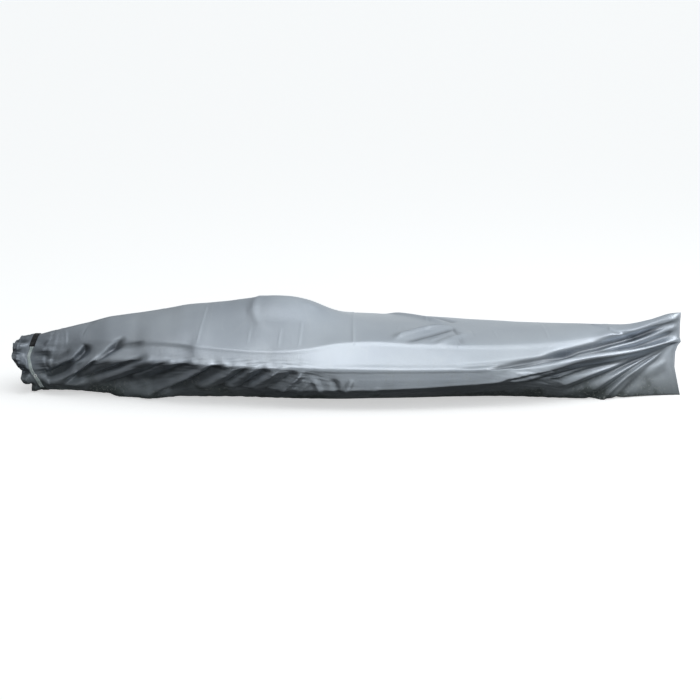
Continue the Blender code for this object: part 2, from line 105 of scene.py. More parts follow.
# Folds, a row each: start, middle and end as x and place, then height and the widths above and
# below the line in millimetres. A place is a share of a side's girth, 0 at the crest and 1 at the
# keel.
FIN_FOLDS = (
    (0.6, 0.546, 1.06, 0.426, 1.52, 0.334, 24, 21, 8),
    (0.86, 0.46, 1.14, 0.382, 1.51, 0.314, 5, 8, 6),
    (0.72, 0.585, 1.1, 0.478, 1.5, 0.352, -22, 12, 26),
    (0.84, 0.58, 1.12, 0.47, 1.49, 0.342, 11, 14, 9),
    (0.92, 0.64, 1.1, 0.532, 1.47, 0.35, 12, 16, 10),
    (0.94, 0.7, 1.13, 0.57, 1.4, 0.405, -12, 12, 16),
    (1.05, 0.74, 1.19, 0.58, 1.47, 0.356, 12, 16, 9),
    (1.06, 0.82, 1.2, 0.625, 1.47, 0.372, -13, 11, 14),
    (1.08, 0.9, 1.21, 0.66, 1.47, 0.372, 13, 15, 11),
    (1.14, 0.93, 1.25, 0.72, 1.46, 0.41, -8, 12, 18),
    (0.58, 0.46, 0.8, 0.4, 1.04, 0.33, -14, 11, 15),
    (0.46, 0.43, 0.64, 0.415, 0.84, 0.385, -5, 12, 16),
    (0.66, 0.475, 1.0, 0.374, 1.44, 0.282, -14, 10, 9),
    (1.09, -0.02, 1.14, 0.03, 1.2, 0.11, 6, 10, 7),
    (0.84, 0.375, 1.12, 0.275, 1.46, 0.075, -22, 14, 24),
    (1.08, 0.23, 1.3, 0.125, 1.51, 0.055, 16, 30, 14),
    (1.1, 0.32, 1.3, 0.23, 1.5, 0.16, 10, 16, 20),
    (1.16, 0.34, 1.33, 0.27, 1.49, 0.245, -9, 14, 14),
    (1.17, 0.13, 1.24, 0.16, 1.3, 0.2, -8, 12, 12),
    (1.24, 0.62, 1.34, 0.59, 1.46, 0.58, 3, 14, 18),
    (1.2, 0.76, 1.33, 0.7, 1.47, 0.7, -3, 16, 20),
)
NEAR_FOLDS = (
    (-1.385, 0.67, -1.25, 0.575, -1.12, 0.3, 21, 9, 20),
    (-1.385, 0.64, -1.22, 0.455, -1.15, 0.29, -28, 14, 28),
    (-1.385, 0.45, -1.31, 0.42, -1.22, 0.33, -8, 14, 18),
    (-1.385, 0.72, -1.22, 0.56, -0.96, 0.3, 22, 12, 26),
    (-1.3, 0.69, -1.13, 0.49, -0.97, 0.255, -24, 12, 20),
    (-1.34, 0.74, -1.1, 0.61, -0.82, 0.41, 24, 10, 24),
    (-1.24, 0.69, -1.06, 0.56, -0.86, 0.405, -24, 12, 20),
    (-1.12, 0.73, -0.93, 0.6, -0.76, 0.455, -20, 16, 26),
    (-0.98, 0.64, -0.86, 0.54, -0.74, 0.445, 18, 8, 22),
    (-0.9, 0.65, -0.78, 0.55, -0.66, 0.455, -13, 16, 18),
    (-0.94, 0.745, -0.76, 0.615, -0.56, 0.445, 27, 10, 26),
    (-0.84, 0.72, -0.68, 0.6, -0.52, 0.465, -26, 18, 24),
    (-1.06, 0.35, -0.97, 0.33, -0.88, 0.31, -6, 8, 14),
    (-0.66, 0.65, -0.56, 0.565, -0.46, 0.475, 16, 10, 20),
    (-0.6, 0.68, -0.51, 0.59, -0.42, 0.49, -16, 14, 18),
    (-0.54, 0.63, -0.46, 0.55, -0.37, 0.465, 14, 9, 18),
    (-0.49, 0.65, -0.41, 0.57, -0.33, 0.485, -13, 14, 16),
    (-0.43, 0.62, -0.35, 0.545, -0.25, 0.465, 14, 10, 18),
    (-0.38, 0.64, -0.3, 0.57, -0.21, 0.49, -8, 12, 16),
    (-0.3, 0.64, -0.24, 0.56, -0.17, 0.48, 11, 9, 14),
    (-0.23, 0.65, -0.19, 0.58, -0.13, 0.5, 8, 8, 12),
    (-0.14, 0.52, -0.12, 0.57, -0.09, 0.64, 8, 10, 12),
    (-0.06, 0.5, -0.04, 0.56, -0.02, 0.62, -7, 12, 10),
    (0.03, 0.5, 0.0, 0.56, -0.03, 0.64, 7, 9, 12),
    (0.14, 0.53, 0.1, 0.59, 0.06, 0.65, 5, 10, 12),
    (-1.08, 0.8, -0.91, 0.745, -0.74, 0.8, 25, 44, 70),
    (-0.98, 0.33, -0.82, 0.35, -0.66, 0.375, -3, 16, 22),
    (0.19, 0.27, 0.35, 0.095, 0.5, -0.03, 18, 24, 12),
    (0.24, 0.275, 0.37, 0.165, 0.5, 0.02, -9, 11, 18),
    (0.38, 0.28, 0.47, 0.19, 0.56, 0.07, 8, 10, 20),
    (0.36, 0.25, 0.39, 0.215, 0.43, 0.18, 4, 7, 9),
    (0.42, 0.27, 0.45, 0.24, 0.49, 0.21, 4, 6, 9),
    (0.48, 0.05, 0.49, 0.16, 0.5, 0.29, -5, 10, 7),
    (-0.37, -0.06, -0.41, 0.13, -0.31, 0.27, 3.4, 18, 22),
    (-0.02, 0.66, 0.2, 0.62, 0.42, 0.6, 6, 20, 24),
    (-0.19, 0.02, -0.14, 0.05, -0.1, 0.02, 4, 14, 20),
)
FAR_FOLDS = (
    (-1.36, 0.6, -1.18, 0.46, -1.02, 0.36, 13, 12, 22),
    (-1.32, 0.54, -1.2, 0.43, -1.06, 0.31, -12, 14, 24),
    (-1.28, 0.74, -1.06, 0.58, -0.86, 0.46, 16, 12, 24),
    (-1.18, 0.66, -1.02, 0.53, -0.88, 0.42, -11, 20, 24),
    (-1.04, 0.68, -0.82, 0.55, -0.62, 0.45, 14, 11, 24),
    (-0.92, 0.69, -0.74, 0.58, -0.58, 0.49, -11, 18, 22),
    (-0.82, 0.64, -0.64, 0.53, -0.5, 0.46, 11, 10, 20),
    (-0.72, 0.75, -0.52, 0.63, -0.36, 0.52, 13, 12, 24),
    (-0.6, 0.66, -0.4, 0.58, -0.2, 0.53, -11, 20, 24),
    (-0.44, 0.65, -0.34, 0.56, -0.26, 0.48, 10, 10, 18),
    (-0.78, 0.44, -0.16, 0.48, 0.6, 0.45, -8, 10, 26),
    (-0.2, 0.63, 0.04, 0.58, 0.28, 0.6, 9, 18, 22),
    (0.2, 0.61, 0.44, 0.55, 0.7, 0.5, -10, 18, 22),
    (0.16, 0.3, 0.34, 0.16, 0.46, 0.02, 11, 14, 30),
    (0.3, 0.28, 0.42, 0.17, 0.5, 0.06, -7, 14, 18),
    (-0.36, 0.0, -0.41, 0.13, -0.31, 0.26, 6, 10, 40),
    (0.56, 0.56, 0.86, 0.48, 1.12, 0.41, 15, 24, 12),
    (0.7, 0.6, 0.92, 0.52, 1.14, 0.44, -10, 14, 20),
    (0.74, 0.44, 0.92, 0.38, 1.08, 0.34, -11, 20, 20),
    (0.92, 0.71, 1.06, 0.61, 1.18, 0.54, 12, 20, 14),
)

# Creases left by folding the cover flat: x, how far they lean along the cover, the places that
# they run between, and height in millimetres
CREASES = (
    (-1.268, 0.01, 0.1, 0.27, 1), (-1.175, -0.02, 0.05, 0.2, -0.8), (-0.635, -0.03, 0.02, 0.34, 0.6),
    (-0.425, -0.008, 0.24, 0.34, 0.6), (-0.29, -0.008, 0.24, 0.36, 0.6), (-0.2, -0.01, 0.18, 0.34, 0.8),
    (0.03, 0.0, -0.3, 0.3, 2.2), (0.235, -0.018, 0.02, 0.12, 0.8), (0.48, 0.01, 0.04, 0.3, -1.6),
    (0.56, 0.008, 0.06, 0.18, -1), (0.66, 0.01, 0.05, 0.2, 1.2), (0.885, 0.014, -0.2, 0.22, 1.4),
    (1.175, 0.0, 0.0, 0.16, 1.2), (-0.83, 0.01, -0.3, -0.04, 1), (-0.48, -0.012, -0.28, -0.06, 1),
    (0.36, 0.01, -0.3, -0.05, 1),
)
CREASE_WIDTH = 0.0045
CREASE_LEAN_REACH = 0.035

# Gathers beside the strap: place, height and width in millimetres, run along the cover and drift
# round it
GATHERS = (
    (0.1, 3, 12, 0.03, 0.0), (0.21, -9, 13, 0.05, 0.02), (0.29, 6, 12, 0.1, 0.03),
    (0.37, -9, 13, 0.08, 0.02), (0.45, 7, 12, 0.1, -0.02), (0.53, -8, 11, 0.07, -0.02),
    (0.585, -7, 11, 0.05, -0.02), (0.655, 7, 10, 0.06, -0.02), (0.72, -7, 10, 0.06, -0.02),
    (-0.1, 4, 11, 0.04, 0.0), (-0.22, -9, 12, 0.06, -0.02), (-0.31, 10, 11, 0.06, -0.01),
    (-0.4, -10, 12, 0.05, 0.0), (-0.49, 9, 10, 0.07, 0.01), (-0.58, -9, 12, 0.05, 0.02),
    (-0.67, 9, 11, 0.06, 0.03), (-0.77, 6, 12, 0.06, 0.01),
)

# The ruffle beyond the strap: place, then its reach past the strap and its flare in millimetres
RUFFLE = (
    (-1.0, 44, 0), (-0.86, 50, 8), (-0.72, 46, 4), (-0.58, 60, 20), (-0.45, 52, 12), (-0.3, 60, 18),
    (-0.16, 62, -10), (0.0, 64, -30), (0.1, 68, -22), (0.2, 69, 2), (0.31, 63, 18), (0.42, 56, 24),
    (0.51, 47, 16), (0.57, 37, -6), (0.65, 45, 14), (0.73, 42, 14), (0.79, 30, -6), (0.87, 40, 3),
    (1.0, 44, 0),
)

# Pleats that run out through the ruffle: place at the strap and at its edge, then height and width
# in millimetres
PLEATS = (
    (0.08, 0.09, 7, 20), (0.16, 0.15, -11, 10), (0.24, 0.25, 10, 16), (0.33, 0.31, -12, 10),
    (0.42, 0.42, 12, 18), (0.5, 0.53, -13, 9), (0.57, 0.6, -16, 12), (0.64, 0.67, 14, 16),
    (0.72, 0.77, -15, 10), (0.81, 0.86, 9, 15), (0.93, 0.94, -7, 12), (-0.1, -0.12, -9, 14),
    (-0.2, -0.22, 12, 20), (-0.34, -0.33, -16, 13), (-0.45, -0.48, 14, 22), (-0.57, -0.58, -14, 14),
    (-0.68, -0.7, 12, 20), (-0.8, -0.82, -12, 12), (-0.9, -0.9, 8, 18),
)

# Where the sewn edge stands back, in millimetres: height on the edge and how far
EDGE = (
    (0, -4), (60, -16), (120, -27), (180, -23), (208, -12), (225, 3), (245, -2), (300, 0), (348, 5),
)

# How finely the sheet is laid: near and far columns, and rows in each stretch of the cover
NEAR_STEPS = 138
FAR_STEPS = 74
PLACE_CROWDING = 0.055
STRETCHES = ((-1.366, -1.2, 26), (-1.2, -0.25, 128), (-0.25, 0.62, 84), (0.62, 1.486, 128))
LAST_STATIONS = (1.486, 1.489, 1.492, SEAM_X)
RUFFLE_ROWS = 26
RUFFLE_SPAN = 0.97

# The hem's turn inside the mouth: shares of the ruffle's reach and how far in each row lies
HEM_ROWS = ((0.8, 0.002), (0.86, 0.002), (0.92, 0.002), (0.97, 0.002), (0.992, 0.0012))

# The depth of a fold at which its tone is darkest or palest; the darkening in a trough is painted shade
FULL_DEPTH = 0.012


def home(points):
    """Moves points from the floor's frame to the row's frame."""
    return np.asarray(points, float) - (HOME_X, 0.0, HOME_Z)


def metres(sizes):
    """Sizes in millimetres as metres."""
    return np.array(sizes, float) / 1000


def smooth(a, b, x):
    """0 below a, 1 above b and a soft step between them."""
    t = np.clip((x - a) / (b - a), 0.0, 1.0)
    return t * t * (3 - 2 * t)


def run_along(line):
    """How far along the line each of its points lies."""
    return np.concatenate([[0], np.cumsum(np.linalg.norm(np.diff(line, axis=0), axis=1))])


def unit(rows):
    """The rows of an array as vectors of length 1."""
    return rows / np.linalg.norm(rows, axis=1)[:, None]


def eased(t, start, end, leave, arrive):
    """The point at the share t of a smooth curve between two points with the given slopes."""
    return (
        (2 * t**3 - 3 * t**2 + 1) * start + (t**3 - 2 * t**2 + t) * leave
        + (3 * t**2 - 2 * t**3) * end + (t**3 - t**2) * arrive
    )


def interpolated(x):
    """The section at x, read from a smooth curve through the table's rows."""
    rows = np.array(SECTIONS, float)
    rows[:, 1:10] = metres(rows[:, 1:10])
    xs = rows[:, 0]
    slopes = np.gradient(rows, xs, axis=0)
    i = int(np.clip(np.searchsorted(xs, x) - 1, 0, len(xs) - 2))
    step = xs[i + 1] - xs[i]
    row = eased((x - xs[i]) / step, rows[i], rows[i + 1], step * slopes[i], step * slopes[i + 1])
    return dict(zip(SECTION_COLUMNS, row))


def corner_points(row):
    """The closed section's corners as (y, z), from the crest down the near side and up the far one."""
    deck = (
        row["shoulder_y"] * DECK_SHARE, row["crest"] - row["deck_fall"] * (row["crest"] - row["shoulder_z"])
    )
    shoulder = (row["shoulder_y"], row["shoulder_z"])
    wide = (row["wide_y"], row["wide_z"])
    bilge = (row["bilge_y"], row["bilge_z"])
    under = NECK_RISE * smooth(-0.95, -1.35, row["x"])
    half = [deck, shoulder]
    for start, end in ((shoulder, wide), (wide, bilge)):
        for share in (row["soft"], 1 - row["soft"]):
            half.append(tuple(a + (b - a) * share for a, b in zip(start, end)))
        half.append(end)
    half += [(row["foot_y"], under + FOOT_RISE), (row["foot_y"] * KEEL_SHARE, under)]
    half = [(max(y, FIN_HALF), z) for y, z in half]
    near = [(-y, z) for y, z in half]
    far = [(y, z) for y, z in reversed(half)]
    loop = [(0.0, row["crest"]), *near, (0.0, under), *far]
    return [(y - row["lean"] * (1 - z / row["crest"]), z) for y, z in loop]


def smooth_loop(corners, steps=16):
    """A closed smooth curve through the corners, which doesn't swing out beyond them."""
    p = np.array(corners)
    after = np.roll(p, -1, 0)
    length = np.linalg.norm(after - p, axis=1)[:, None]
    slope = (after - np.roll(p, 1, 0)) / (length + np.roll(length, 1, 0))
    leave, arrive = slope * length, np.roll(slope, -1, 0) * length
    t = (np.arange(steps) / steps)[:, None, None]
    return eased(t, p, after, leave, arrive).transpose(1, 0, 2).reshape(-1, 2)


def section_ring(x, places):
    """Points of the section at x as (y, z), with the outward normals and the sides' girths."""
    loop = smooth_loop(corner_points(interpolated(x)))
    half = len(loop) // 2
    sides = {1: loop[: half + 1], -1: np.vstack([loop[:1], loop[: half - 1 : -1]])}
    points = np.zeros((len(places), 2))
    girth = np.zeros(len(places))
    for side, line in sides.items():
        along = run_along(line)
        mine = (places >= 0) if side == 1 else (places < 0)
        at = np.abs(places[mine]) * along[-1]
        points[mine, 0] = np.interp(at, along, line[:, 0])
        points[mine, 1] = np.interp(at, along, line[:, 1])
        girth[mine] = along[-1]
    tangent = np.roll(points, -1, 0) - np.roll(points, 1, 0)
    normal = np.column_stack([tangent[:, 1], -tangent[:, 0]])
    return points, unit(normal), girth


def side_places(steps):
    """Places down one side, closest together where most folds are."""
    u = np.arange(steps + 1) / steps
    return u + PLACE_CROWDING * np.sin(2 * math.pi * u)


def sheet_places():
    """Places round the sheet: down the near side from the crest, then up the far side."""
    return np.concatenate([side_places(NEAR_STEPS), -side_places(FAR_STEPS)[-2:0:-1]])


def bent_path(start, middle, end, steps=25):
    """A smooth path through three (x, place) points."""
    t = np.linspace(0, 1, steps)
    a, m, b = (np.array(v) for v in (start, middle, end))
    hold = 2 * m - (a + b) / 2
    path = np.outer((1 - t) ** 2, a) + np.outer(2 * t * (1 - t), hold) + np.outer(t**2, b)
    return t, path


# How far from its line a fold is felt, in widths, and the shares of its length in which it rises
# and dies away. A fold that starts under the strap rises sooner, and a ridge that ends ahead of
# the fin dies away more slowly.
FELT = 3.2
ONSET, STRAP_ONSET = 0.22, 0.08
ENDING, RIDGE_ENDING = 0.18, 0.396
UNDER_STRAP, FIN_START = -1.38, 0.6


def fold_lift(rows, x, places, girth):
    """How far the folds lift the cloth at the places of the section at x."""
    lift = np.zeros(len(places))
    for x0, p0, x1, p1, x2, p2, *sizes in rows:
        height, above, below = metres(sizes)
        reach = FELT * max(above, below)
        if x < min(x0, x2) - reach or x > max(x0, x2) + reach:
            continue
        t, path = bent_path((x0, p0), (x1, p1), (x2, p2))
        run = np.diff(path[:, 0])[None, :]
        drop = np.diff(path[:, 1])[None, :] * girth[:, None]
        ahead = x - path[None, :-1, 0]
        down = (places[:, None] - path[None, :-1, 1]) * girth[:, None]
        share = np.clip((ahead * run + down * drop) / (run**2 + drop**2), 0, 1)
        distance = np.hypot(ahead - share * run, down - share * drop)
        nearest = np.argmin(distance, axis=1)
        every = np.arange(len(places))
        d = distance[every, nearest]
        part = share[every, nearest]
        at = t[nearest] + part * (t[1] - t[0])
        line = path[nearest, 1] + part * (path[nearest + 1, 1] - path[nearest, 1])
        width = np.where(np.abs(places) > np.abs(line), below, above)
        ending = ENDING if height < 0 or x2 > FIN_START else RIDGE_ENDING
        onset = STRAP_ONSET if x0 < UNDER_STRAP else ONSET
        fade = smooth(0.0, onset, at) * smooth(1.0, 1.0 - ending, at)
        lift += height * fade * np.exp(-((d / width) ** 2))
    return lift


def gather_rows():
    """The gathers as rows of folds that start at the strap."""
    start = NECK_X + STRAP_WIDTH / 2
    return [
        (start - 0.03, p, start + run / 2, p + drift / 2, start + run, p + drift, height, width, width)
        for p, height, width, run, drift in GATHERS
    ]


def ripple(x, g, waves):
    """Soft uneven swell of slack cloth: waves are (height, length along, length round, phase)."""
    total = np.zeros(np.broadcast(x, g).shape)
    for height, along, around, phase in waves:
        total = total + height * np.sin(2 * math.pi * (x / along + g / around) + phase) * np.sin(
            2 * math.pi * (x / (along * 1.7) - g / (around * 1.3)) + 2.1 * phase
        )
    return total


# Waves of the slack cloth, of the crumpled ruffle and of the wrinkled sides
SLACK = (
    (0.002, 0.46, 0.6, 0.4), (0.0013, 0.31, -0.41, 1.9), (0.0006, 0.19, 0.33, 3.1),
    (0.0003, 0.13, -0.21, 0.9),
)
CRUMPLE = (
    (0.003, 0.06, 0.071, 0.3), (0.0026, 0.041, -0.05, 1.7), (0.0018, 0.027, 0.037, 2.6),
    (0.0013, 0.021, -0.024, 4.1),
)
WRINKLE = ((0.0012, 0.12, 0.05, 0.8), (0.0009, 0.09, -0.034, 2.2), (0.0006, 0.06, 0.026, 3.7))


def crease_shift(x, places):
    """How far the rows near a crease lean along the cover, so that a row runs down the crease."""
    shift = np.zeros(len(places))
    for crease_x, lean, p0, p1, _ in CREASES:
        share = np.clip((places - p0) / (p1 - p0), -0.3, 1.3) - 0.5
        shift += lean * share * math.exp(-(((x - crease_x) / CREASE_LEAN_REACH) ** 2)) * (
            smooth(p0 - 0.15, p0, places) * smooth(p1 + 0.15, p1, places)
        )
    return shift


def crease_lift(x, places):
    """The height of the folding creases on the row at x."""
    lift = np.zeros(len(places))
    for crease_x, _, p0, p1, height in CREASES:
        if abs(x - crease_x) < 6 * CREASE_WIDTH:
            along = smooth(p0 - 0.02, p0 + 0.03, places) * smooth(p1 + 0.02, p1 - 0.03, places)
            d = (x - crease_x) / CREASE_WIDTH
            ridge = math.exp(-(d**2)) - 0.45 * math.exp(-(((d - 2.2) / 1.3) ** 2))
            lift += metres(height) * along * ridge
    return lift


def neck_rake(x, z):
    """How far the cover's foot and crest stand forward of its middle near the strap."""
    foot = NECK_RAKE * np.clip(1 - z / 0.25, 0, 1) ** 2.2
    crest = CREST_RAKE * np.clip((z - 0.165) / 0.08, 0, 1) ** 1.3
    return (foot + crest) * smooth(-1.0, -1.3, x)


def slack_lift(x, down, g):
    """How far slack, wrinkled and crumpled cloth stands off the section at x."""
    fin = smooth(0.75, 1.15, x)
    taut = smooth(-0.75, -0.45, x)
    off_keel = smooth(0.95, 0.6, down)
    slack = (1 - 0.65 * taut) * (1 - 0.7 * fin) * off_keel * ripple(x, g, SLACK)
    side = smooth(0.4, 0.5, down) * smooth(0.95, 0.75, down)
    loose = side * (1 - smooth(-0.3, 0.0, x) * (1 - smooth(0.5, 0.9, x)) * 0.85)
    bow = smooth(-1.24, -1.36, x)
    wrinkled = (1 - fin) * loose * ripple(x, g * 1.3, WRINKLE)
    return slack + wrinkled + 0.35 * bow * ripple(x, g, CRUMPLE)


def lay_far_on_near(ring, moved, places, joined):
    """Moves the far layer as the near one, by a share, where the two lie on each other."""
    near, far = places >= 0, places < 0
    order = np.argsort(places[near])
    step = (moved - ring)[near][order]
    twin = [np.interp(-places[far], places[near][order], step[:, k]) for k in (0, 1)]
    moved[far] = (1 - joined) * moved[far] + joined * (ring[far] + np.column_stack(twin))


def cover_row(x, places):
    """The sheet at the station x: points and how deep each lies in its folds."""
    at_neck = abs(x - NECK_X) <= NECK_HALF + 1e-6
    ring, normal, girth = section_ring(NECK_X if at_neck else x, places)
    depth = np.zeros(len(places))
    shift = np.zeros(len(places))
    if not at_neck:
        down = np.abs(places)
        near_lift = fold_lift(NEAR_FOLDS + FIN_FOLDS, x, down, girth)
        lift = np.where(places >= 0, near_lift, fold_lift(FAR_FOLDS, x, down, girth))
        off_neck = smooth(NECK_X + NECK_HALF, NECK_X + NECK_HALF + 0.02, x)
        lift += off_neck * fold_lift(gather_rows(), x, places, girth)
        lift += off_neck * slack_lift(x, down, places * girth)
        depth = lift * smooth(1.02, 0.86, down)
        moved = ring + normal * (depth + off_neck * crease_lift(x, places))[:, None]
        lay_far_on_near(ring, moved, places, smooth(1.1, 1.34, x))
        ring = moved
        shift = off_neck * crease_shift(x, places)
    closing = smooth(SEAM_X - 0.03, SEAM_X, x)
    if closing > 0:
        row = interpolated(x)
        centre = -row["lean"] * (1 - ring[:, 1] / row["crest"])
        ring[:, 0] = centre + (ring[:, 0] - centre) * (1 - 0.72 * closing)
    ring[:, 1] = np.maximum(ring[:, 1], FLOOR_GAP)
    heights, set_back = metres(EDGE).T
    out_x = x + shift + neck_rake(min(x, NECK_X + NECK_HALF) if at_neck else x, ring[:, 1])
    out_x = out_x + np.interp(ring[:, 1], heights, set_back) * smooth(1.38, SEAM_X, x)
    return np.column_stack([out_x, ring]), depth


def ruffle_swell(flare, t):
    """The share of the flare at the share t of the reach: lobes swell and then turn in."""
    return np.where(flare > 0, math.sin(0.72 * math.pi * t), t**1.3)


def ruffle_row(t, places, inward=0.0):
    """The ruffle at the share t of its reach, set inward by a hem's turn."""
    ring, normal, girth = section_ring(NECK_X, places)
    table = np.array(RUFFLE)
    reach, flare = (np.interp(places, table[:, 0], metres(table[:, k])) for k in (1, 2))
    g = places * girth
    pleats = np.zeros(len(places))
    for at_strap, at_edge, *sizes in PLEATS:
        height, width = metres(sizes)
        place = at_strap + (at_edge - at_strap) * t
        pleats += height * np.exp(-(((places - place) * girth / width) ** 2))
    swell = smooth(0.0, 0.55, t) * (1 - 0.15 * t)
    depth = pleats * swell + 0.5 * ripple(reach * t, g, CRUMPLE) * smooth(0.1, 0.6, t)
    out = flare * ruffle_swell(flare, t) + depth - inward
    moved = ring + normal * out[:, None]
    moved[:, 1] = np.maximum(moved[:, 1], FLOOR_GAP)
    start = NECK_X - NECK_HALF
    wave = 0.003 * np.sin(g * 2 * math.pi / 0.083 + 1.0) * t
    points = np.column_stack([start - reach * t + wave + neck_rake(NECK_X, ring[:, 1]), moved])
    return points, depth


def cover_stations():
    """Where the rows of the sheet stand, with extra rows down each crease."""
    stations = [NECK_X - NECK_HALF, NECK_X, NECK_X + NECK_HALF]
    for start, end, steps in STRETCHES:
        stations += [start + (end - start) * k / steps for k in range(steps)]
    stations += LAST_STATIONS
    for crease_x, _, _, _, _ in CREASES:
        stations = [s for s in stations if abs(s - crease_x) > 0.011 or s <= NECK_X + NECK_HALF]
        stations += [crease_x + CREASE_WIDTH * k for k in (-2.0, -1.0, 0.0, 1.0, 2.2)]
    return sorted(stations)


def add_to_scene(name, data):
    """A new object in the scene."""
    obj = bpy.data.objects.new(name, data)
    bpy.context.scene.collection.objects.link(obj)
    return obj


def new_mesh(name, points, faces, material, smooth_shaded=True):
    """A mesh object in the scene with one material."""
    mesh = bpy.data.meshes.new(name)
    mesh.from_pydata([tuple(p) for p in points], [], faces)
    if smooth_shaded:
        mesh.shade_smooth()
    mesh.materials.append(material)
    return add_to_scene(name, mesh)


def build_cover(material):
    """The sheet from its turned hem at the mouth to its sewn edge, with its own cloth coordinates."""
    places = sheet_places()
    rows = [ruffle_row(share, places, turn) for share, turn in HEM_ROWS]
    rows += [ruffle_row(1.0 - k / RUFFLE_ROWS * RUFFLE_SPAN, places) for k in range(RUFFLE_ROWS)]
    rows += [cover_row(x, places) for x in cover_stations()]
    points = np.concatenate([p for p, _ in rows])
    depth = np.concatenate([d for _, d in rows])
    n = len(places)
    faces = []
    for r in range(len(rows) - 1):
        for j in range(n):
            k = (j + 1) % n
            faces.append((r * n + j, r * n + k, (r + 1) * n + k, (r + 1) * n + j))
    last = (len(rows) - 1) * n
    faces += seam_faces(last, places)
    cover = new_mesh("cover_cloth", home(points), faces, material)
    lay_cloth_coordinates(cover, points.reshape(len(rows), n, 3))
    # How deep the cloth lies in its folds, which the cloth's material turns into painted shade in the
    # troughs
    tone = cover.data.attributes.new("fold_depth", "FLOAT", "POINT")
    tone.data.foreach_set("value", np.clip(depth / FULL_DEPTH, -1, 1).astype(np.float32))
    return cover


def seam_faces(last, places):
    """Faces across the sewn edge, between the near and the far layer."""
    n = len(places)
    near = list(range(NEAR_STEPS + 1))
    far = [0] + list(range(n - 1, NEAR_STEPS, -1)) + [NEAR_STEPS]
    faces = []
    i = j = 0
    while i < len(near) - 1 or j < len(far) - 1:
        next_near = places[near[i + 1]] if i < len(near) - 1 else math.inf
        next_far = abs(places[far[j + 1]]) if j < len(far) - 1 else math.inf
        a, b = last + near[i], last + far[j]
        if next_near <= next_far:
            corners = (a, last + near[i + 1], b)
            i += 1
        else:
            corners = (a, last + far[j + 1], b)
            j += 1
        if len(set(corners)) == 3:
            faces.append(corners)
    return faces


def lay_cloth_coordinates(obj, grid):
    """A UV map in metres of cloth: u along the cover, v round it from the crest."""
    rows, n, _ = grid.shape
    near = NEAR_STEPS + 1
    along = np.concatenate([[0], np.cumsum(np.linalg.norm(np.diff(grid, axis=0), axis=2).mean(1))])
    steps = np.linalg.norm(np.roll(grid, -1, 1) - grid, axis=2)
    v = np.zeros((rows, n))
    v[:, 1:near] = np.cumsum(steps[:, : near - 1], axis=1)
    v[:, near:] = -np.cumsum(steps[:, near:][:, ::-1], axis=1)[:, ::-1]
    beyond = np.roll(v, -1, 1)
    beyond[:, near - 1] = v[:, near - 1] + steps[:, near - 1]
    u = np.repeat(along[:, None], n, 1)
    corners = np.stack([
        np.stack([u[:-1], v[:-1]], -1), np.stack([u[:-1], beyond[:-1]], -1),
        np.stack([u[1:], beyond[1:]], -1), np.stack([u[1:], v[1:]], -1),
    ], axis=2).reshape(-1, 2)
    flat = np.zeros((len(obj.data.loops), 2), dtype=np.float32)
    flat[: len(corners)] = corners
    flat[len(corners) :] = (along[-1], 0.0)
    obj.data.uv_layers.new(name="cloth").data.foreach_set("uv", flat.ravel())


def band_on_neck(name, first, last, profile, material, steps=150, lift_end=0.0):
    """A flat band round the neck between two places, lofted from its own profile.

    A path runs through places: the near side's are 0 to 1, the far side's follow as 1 to 2, and
    the crest again is 2. profile(share) gives the band's cut as (across, out) points.
    """
    path = np.linspace(first, last, steps)
    fold = np.where(path > 2, path - 2, path)
    places = np.where(fold <= 1, fold, fold - 2)
    ring, _, _ = section_ring(NECK_X, places)
    tangent = np.gradient(ring, axis=0)
    out = unit(np.column_stack([tangent[:, 1], -tangent[:, 0]]))
    along = run_along(ring)
    points, uv = [], []
    for i in range(steps):
        share = i / (steps - 1)
        rise = lift_end * smooth(0.9, 1.0, share)
        rake = float(neck_rake(NECK_X, ring[i, 1]))
        for across, height in profile(share):
            y, z = ring[i] + out[i] * (SEAT + height + rise)
            points.append((NECK_X + rake + across, y, z))
            uv.append((along[i], across))
    m = len(profile(0.0))
    faces = [
        (i * m + j, (i + 1) * m + j, (i + 1) * m + (j + 1) % m, i * m + (j + 1) % m)
        for i in range(steps - 1) for j in range(m)
    ]
    faces += [tuple(range(m)), tuple(reversed(range((steps - 1) * m, steps * m)))]
    band = new_mesh(name, home(points), faces, material)
    layer = band.data.uv_layers.new(name="cloth")
    for loop in band.data.loops:
        layer.data[loop.index].uv = uv[loop.vertex_index]
    return band


def webbing_profile(share):
    """The strap's cut: a flat weave with round edges and two thicker selvedges."""
    half = STRAP_WIDTH / 2
    wave = 0.0004 * math.sin(share * 41)
    top = [(-half, 0.001), (-half + 0.0006, 0.0018), (-half + 0.0022, 0.002), (-0.007, 0.0017)]
    top += [(0.0, 0.0017), (0.007, 0.0017), (half - 0.0022, 0.002), (half - 0.0006, 0.0018)]
    top += [(half, 0.001), (half - 0.0006, 0.0002), (0.0, 0.0), (-half + 0.0006, 0.0002)]
    return [(a + wave, h) for a, h in top]


def tape_drift(share):
    """How far the tape strays off the middle of the neck."""
    return -0.009 * math.sin(math.pi * min(share * 1.25, 1.0)) + 0.0012 * math.sin(share * 17 + 1.0)


def tape_profile(share):
    """The tape's cut, narrow at its top and wide at its end, with a groove off its middle."""
    tuck = smooth(0.07, 0.0, share)
    half = 0.0068 + 0.0022 * smooth(0.25, 0.8, share) + 0.0022 * tuck
    wave = tape_drift(share)
    groove = -0.25 * half
    cut = [(-half, 0.0006), (-half + 0.0008, 0.0014), (groove - 0.0016, 0.0015), (groove, 0.0006)]
    cut += [(groove + 0.0016, 0.0015), (half - 0.001, 0.0015), (half, 0.0007)]
    cut += [(half - 0.0008, 0.0001), (0.0, 0.0), (-half + 0.0008, 0.0001)]
    return [(a + wave, h * (1 + 1.8 * tuck)) for a, h in cut]


